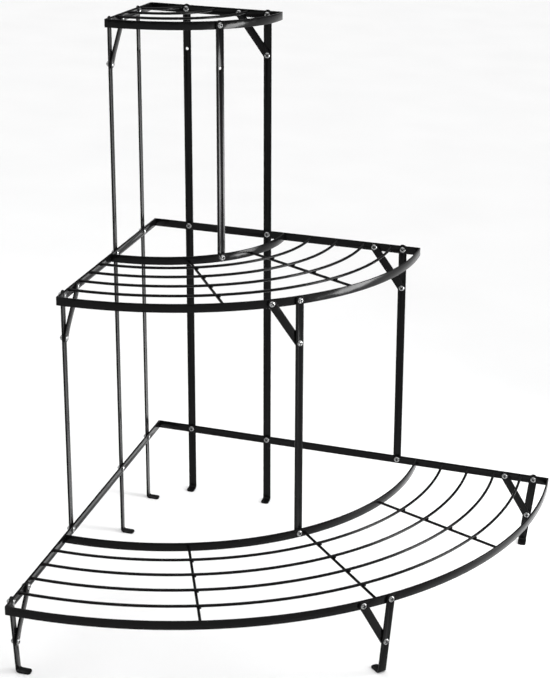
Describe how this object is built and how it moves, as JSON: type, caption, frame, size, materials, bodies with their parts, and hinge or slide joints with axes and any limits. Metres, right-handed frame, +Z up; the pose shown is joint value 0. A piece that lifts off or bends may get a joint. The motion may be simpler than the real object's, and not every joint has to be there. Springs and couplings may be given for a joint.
{
  "type": "tiered plant stand",
  "caption": "Quarter-round corner plant stand with stepped wire shelves on a bolted flat-bar steel frame with diagonal braces and bent feet.",
  "frame": {"origin": "on the floor, under the middle of the stand's box", "axes": "+Z up; the two straight sides face -X (left rails) and +Y (right rails) and meet at the corner towards (-X, +Y); the curved front faces +X and -Y"},
  "size_m": [0.797, 0.797, 1.0015],
  "materials": {
    "black_paint": "satin black powder coat",
    "zinc_bolt": "bright zinc plate",
    "zinc_nut": "bright zinc plate"
  },
  "bodies": {
    "root": {"bottom_bolts": "zinc_bolt", "bottom_front_arc": "black_paint", "bottom_inner_arc": "black_paint", "bottom_left_rail": "black_paint", "bottom_nuts": "zinc_nut", "bottom_right_rail": "black_paint", "bottom_spoke_1": "black_paint", "bottom_spoke_2": "black_paint", "bottom_spoke_3": "black_paint", "bottom_wire_1": "black_paint", "bottom_wire_2": "black_paint", "bottom_wire_3": "black_paint", "bottom_wire_4": "black_paint", "front_middle_hanger": "black_paint", "front_middle_hanger_brace": "black_paint", "front_short_leg": "black_paint", "front_short_leg_brace": "black_paint", "front_top_hanger": "black_paint", "left_corner_leg": "black_paint", "left_short_leg": "black_paint", "left_short_leg_brace": "black_paint", "left_step_post": "black_paint", "left_step_post_brace": "black_paint", "left_tall_leg": "black_paint", "left_tall_leg_brace": "black_paint", "middle_bolts": "zinc_bolt", "middle_front_arc": "black_paint", "middle_inner_arc": "black_paint", "middle_left_rail": "black_paint", "middle_nuts": "zinc_nut", "middle_right_rail": "black_paint", "middle_spoke_1": "black_paint", "middle_spoke_2": "black_paint", "middle_wire_1": "black_paint", "middle_wire_2": "black_paint", "middle_wire_3": "black_paint", "middle_wire_4": "black_paint", "right_corner_leg": "black_paint", "right_short_leg": "black_paint", "right_short_leg_brace": "black_paint", "right_step_post": "black_paint", "right_step_post_brace": "black_paint", "right_tall_leg": "black_paint", "right_tall_leg_brace": "black_paint", "top_bolts": "zinc_bolt", "top_front_arc": "black_paint", "top_left_rail": "black_paint", "top_nuts": "zinc_nut", "top_right_rail": "black_paint", "top_wire_1": "black_paint", "top_wire_2": "black_paint", "top_wire_3": "black_paint"}
  },
  "joints": []
}
